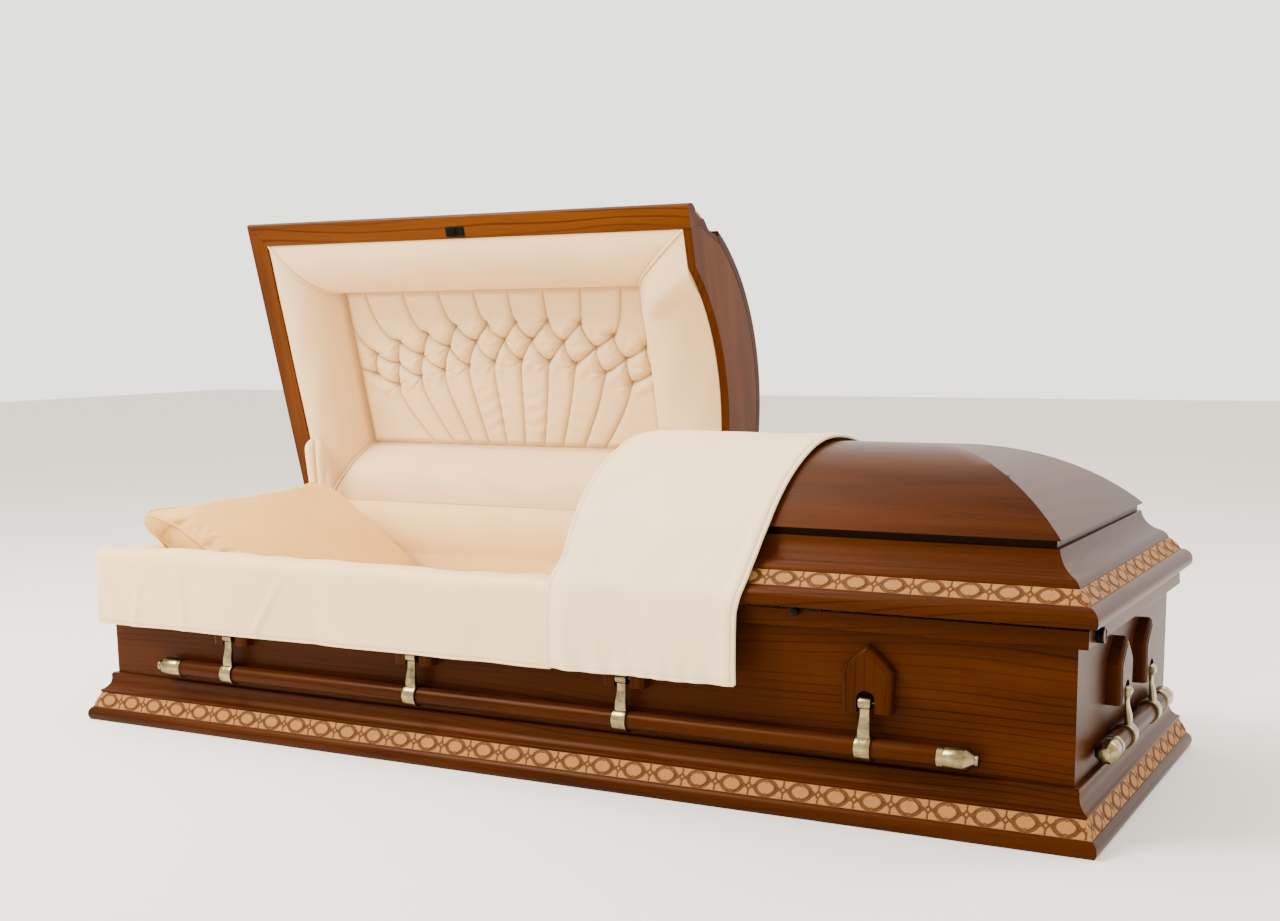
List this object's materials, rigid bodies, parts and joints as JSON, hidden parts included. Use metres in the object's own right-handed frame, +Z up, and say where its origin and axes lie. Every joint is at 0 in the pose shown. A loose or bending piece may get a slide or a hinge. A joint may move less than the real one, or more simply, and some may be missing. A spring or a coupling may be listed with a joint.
{
  "type": "funeral casket",
  "caption": "Stained wood funeral casket with divided domed lid, head half open, carved bands, shield ears with swing bars, tufted cream lining, pillow, apron and throw.",
  "frame": {"origin": "centre of the underside, on the floor", "axes": "+X along the length towards the foot end, -Y out of the front with the apron, +Z up"},
  "size_m": [2.1004, 0.8883, 1.0377],
  "materials": {
    "stained_wood": "satin cherry stain over straight dark grain",
    "carved_band": "carved tan wood with brown lines",
    "antique_brass": "antique satin brass",
    "cream_crepe": "cream crepe cloth with a soft sheen"
  },
  "bodies": {
    "casket_box": {"bottom_board": "stained_wood", "front_panel": "stained_wood", "foot_panel": "stained_wood", "back_panel": "stained_wood", "head_panel": "stained_wood", "base_moulding_front": "stained_wood", "base_moulding_foot": "stained_wood", "base_moulding_back": "stained_wood", "base_moulding_head": "stained_wood", "base_band_front": "carved_band", "base_band_foot": "carved_band", "top_rail_front": "stained_wood", "top_rail_foot": "stained_wood", "top_rail_back": "stained_wood", "top_rail_head": "stained_wood", "ear_front_1": "stained_wood", "ear_front_2": "stained_wood", "ear_front_3": "stained_wood", "ear_front_4": "stained_wood", "ear_foot_1": "stained_wood", "ear_foot_2": "stained_wood", "ear_back_1": "stained_wood", "ear_back_2": "stained_wood", "ear_back_3": "stained_wood", "ear_back_4": "stained_wood", "ear_head_1": "stained_wood", "ear_head_2": "stained_wood", "wall_lining": "cream_crepe", "mattress": "cream_crepe", "pillow": "cream_crepe", "apron": "cream_crepe", "lock_plug": "antique_brass"},
    "head_lid": {"head_lid_crown": "stained_wood", "head_lid_rib": "stained_wood", "head_lid_moulding_front": "stained_wood", "head_lid_moulding_back": "stained_wood", "head_lid_moulding_end": "stained_wood", "head_lid_band_front": "carved_band", "head_lid_rolls": "cream_crepe", "head_lid_tufted_panel": "cream_crepe"},
    "foot_lid": {"foot_lid_crown": "stained_wood", "foot_lid_rib": "stained_wood", "foot_lid_moulding_front": "stained_wood", "foot_lid_moulding_back": "stained_wood", "foot_lid_moulding_end": "stained_wood", "foot_lid_band_front": "carved_band", "foot_lid_band_end": "carved_band", "foot_lid_lining": "cream_crepe", "throw": "cream_crepe"},
    "front_swing_bar": {"front_bar": "stained_wood", "front_arm_1": "antique_brass", "front_arm_2": "antique_brass", "front_arm_3": "antique_brass", "front_arm_4": "antique_brass"},
    "foot_swing_bar": {"foot_bar": "stained_wood", "foot_arm_1": "antique_brass", "foot_arm_2": "antique_brass"},
    "back_swing_bar": {"back_handle": "stained_wood"},
    "head_swing_bar": {"head_handle": "stained_wood"}
  },
  "joints": [
    {"name": "head_lid_hinge", "type": "hinge", "parent": "casket_box", "child": "head_lid", "pos_m": [-0.45, 0.3392, 0.3474], "axis": [1, 0, 0], "range_deg": [0, 74.3]},
    {"name": "foot_lid_hinge", "type": "hinge", "parent": "casket_box", "child": "foot_lid", "pos_m": [0.55, 0.3392, 0.3474], "axis": [-1, 0, 0], "range_deg": [0, 75.6]},
    {"name": "front_bar_swing", "type": "hinge", "parent": "casket_box", "child": "front_swing_bar", "pos_m": [0, -0.3484, 0.2], "axis": [-1, 0, 0], "range_deg": [0, 75]},
    {"name": "foot_bar_swing", "type": "hinge", "parent": "casket_box", "child": "foot_swing_bar", "pos_m": [1.0184, 0, 0.2], "axis": [0, -1, 0], "range_deg": [0, 75]},
    {"name": "back_bar_swing", "type": "hinge", "parent": "casket_box", "child": "back_swing_bar", "pos_m": [0, 0.3484, 0.2], "axis": [1, 0, 0], "range_deg": [0, 75]},
    {"name": "head_bar_swing", "type": "hinge", "parent": "casket_box", "child": "head_swing_bar", "pos_m": [-1.0184, 0, 0.2], "axis": [0, 1, 0], "range_deg": [0, 75]}
  ]
}
